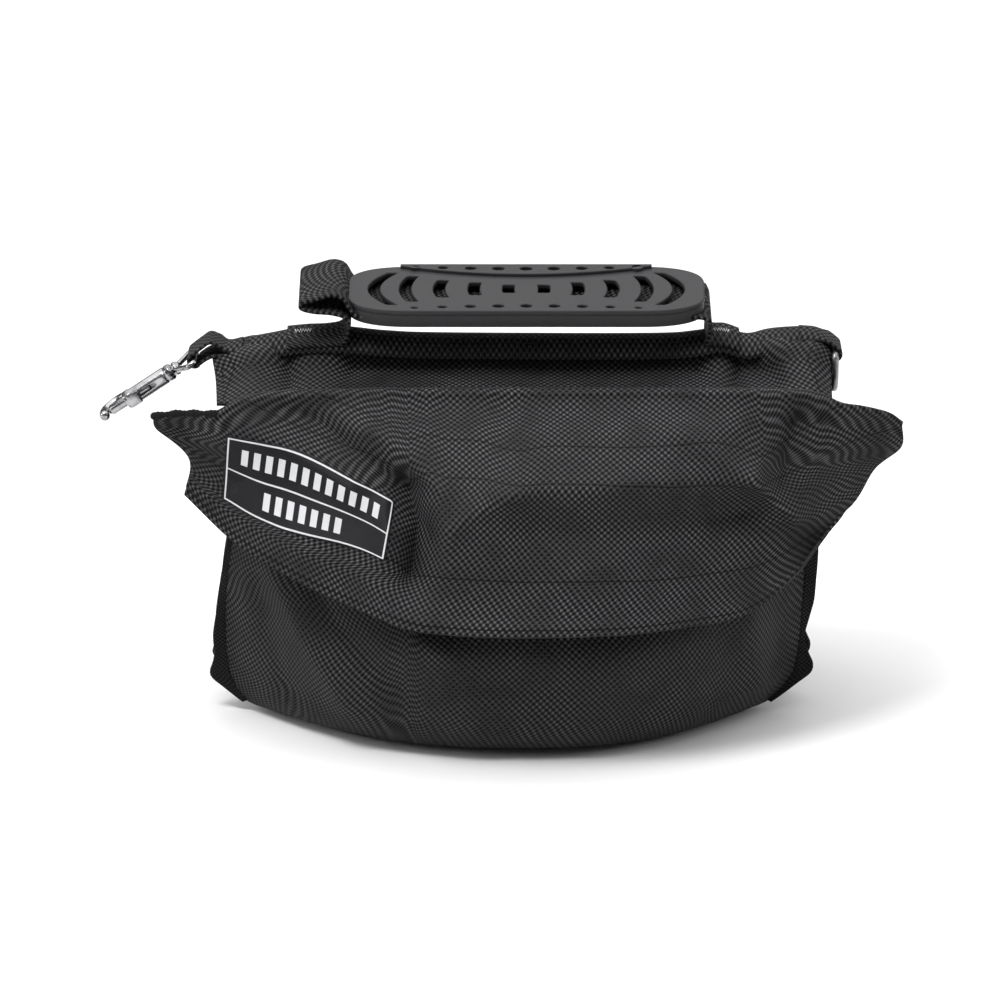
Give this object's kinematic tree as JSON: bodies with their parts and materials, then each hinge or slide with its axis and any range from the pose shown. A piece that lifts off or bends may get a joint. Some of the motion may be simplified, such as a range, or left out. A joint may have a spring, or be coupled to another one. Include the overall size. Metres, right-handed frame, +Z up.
{
  "type": "sandbag",
  "caption": "Saddle sandbag with back-to-back pouches under fold-over flaps, a webbing handle with a moulded grip, a bolt snap and a D-ring.",
  "frame": {"origin": "middle of the footprint of the bag's whole outline, snap included, on the surface it stands on", "axes": "+X along the bag to the D-ring end, -Y out of the front pouch's flap, +Z up"},
  "size_m": [0.3979, 0.225, 0.2199],
  "materials": {
    "woven_fabric": "heavy basket-woven polyester, matt with a faint sheen on the yarn crowns",
    "webbing": "ribbed woven webbing and binding, matt",
    "hook_and_loop": "hook and loop tape, matt",
    "liner_film": "thin film inner bag, satin",
    "sand": "loose grains, matt",
    "grip_rubber": "moulded rubber, satin",
    "label_satin": "satin label with a woven border, no lettering",
    "snap_chrome": "nickel-chrome plated, polished with fine wear",
    "ring_steel": "plated steel wire, satin"
  },
  "bodies": {
    "saddle": {"yoke_panel": "woven_fabric", "spine_webbing": "webbing", "hook_loop": "webbing", "ring_loop": "webbing", "handle_strap_left_end": "webbing", "handle_strap_right_end": "webbing"},
    "front_pouch": {"front_pouch_shell": "woven_fabric", "front_liner_bag": "liner_film", "front_sand_fill": "sand", "front_pouch_upper_loop": "hook_and_loop", "front_pouch_lower_loop": "hook_and_loop", "front_left_binding": "webbing", "front_right_binding": "webbing"},
    "rear_pouch": {"rear_pouch_shell": "woven_fabric", "rear_liner_bag": "liner_film", "rear_sand_fill": "sand", "rear_pouch_upper_loop": "hook_and_loop", "rear_pouch_lower_loop": "hook_and_loop", "rear_left_binding": "webbing", "rear_right_binding": "webbing"},
    "front_flap": {"front_flap": "woven_fabric", "front_flap_upper_hook": "hook_and_loop", "front_flap_lower_hook": "hook_and_loop", "label_patch": "label_satin"},
    "rear_flap": {"rear_flap": "woven_fabric", "rear_flap_upper_hook": "hook_and_loop", "rear_flap_lower_hook": "hook_and_loop"},
    "handle": {"handle_grip": "grip_rubber", "handle_strap_middle": "webbing"},
    "d_ring": {"d_ring": "ring_steel"},
    "snap_eye": {"snap_eye": "snap_chrome"},
    "snap_body": {"snap_body": "snap_chrome", "snap_spring": "ring_steel"},
    "snap_bolt": {"snap_bolt": "snap_chrome", "snap_knob": "snap_chrome"}
  },
  "joints": [
    {"name": "front_pouch_swing", "type": "hinge", "parent": "saddle", "child": "front_pouch", "pos_m": [0.0135, -0.04, 0.171], "axis": [-1, 0, 0], "range_deg": [0, 90]},
    {"name": "rear_pouch_swing", "type": "hinge", "parent": "saddle", "child": "rear_pouch", "pos_m": [0.0135, 0.04, 0.171], "axis": [1, 0, 0], "range_deg": [0, 90]},
    {"name": "front_flap_lift", "type": "hinge", "parent": "front_pouch", "child": "front_flap", "pos_m": [0.0135, -0.046, 0.1735], "axis": [1, 0, 0], "range_deg": [-125, 0]},
    {"name": "rear_flap_lift", "type": "hinge", "parent": "rear_pouch", "child": "rear_flap", "pos_m": [0.0135, 0.046, 0.1735], "axis": [-1, 0, 0], "range_deg": [-125, 0]},
    {"name": "handle_lift", "type": "slide", "parent": "saddle", "child": "handle", "axis": [0, 0, 1], "range_m": [0, 0.02], "deforming": ["handle_strap_left_end", "handle_strap_right_end"]},
    {"name": "ring_swing", "type": "hinge", "parent": "saddle", "child": "d_ring", "pos_m": [0.167, 0, 0.184], "axis": [0, -1, 0], "range_deg": [0, 170]},
    {"name": "snap_swing", "type": "hinge", "parent": "saddle", "child": "snap_eye", "pos_m": [-0.1505, 0, 0.1805], "axis": [0, 1, 0], "range_deg": [-50, 100]},
    {"name": "snap_swivel", "type": "hinge", "parent": "snap_eye", "child": "snap_body", "pos_m": [-0.1505, 0, 0.1805], "axis": [0.829, 0, 0.5592], "continuous": true},
    {"name": "snap_bolt_slide", "type": "slide", "parent": "snap_body", "child": "snap_bolt", "axis": [0.829, 0, 0.5592], "range_m": [0, 0.008], "stiffness_N_per_m": 600, "springref_m": -0.003, "deforming": ["snap_spring"]}
  ]
}
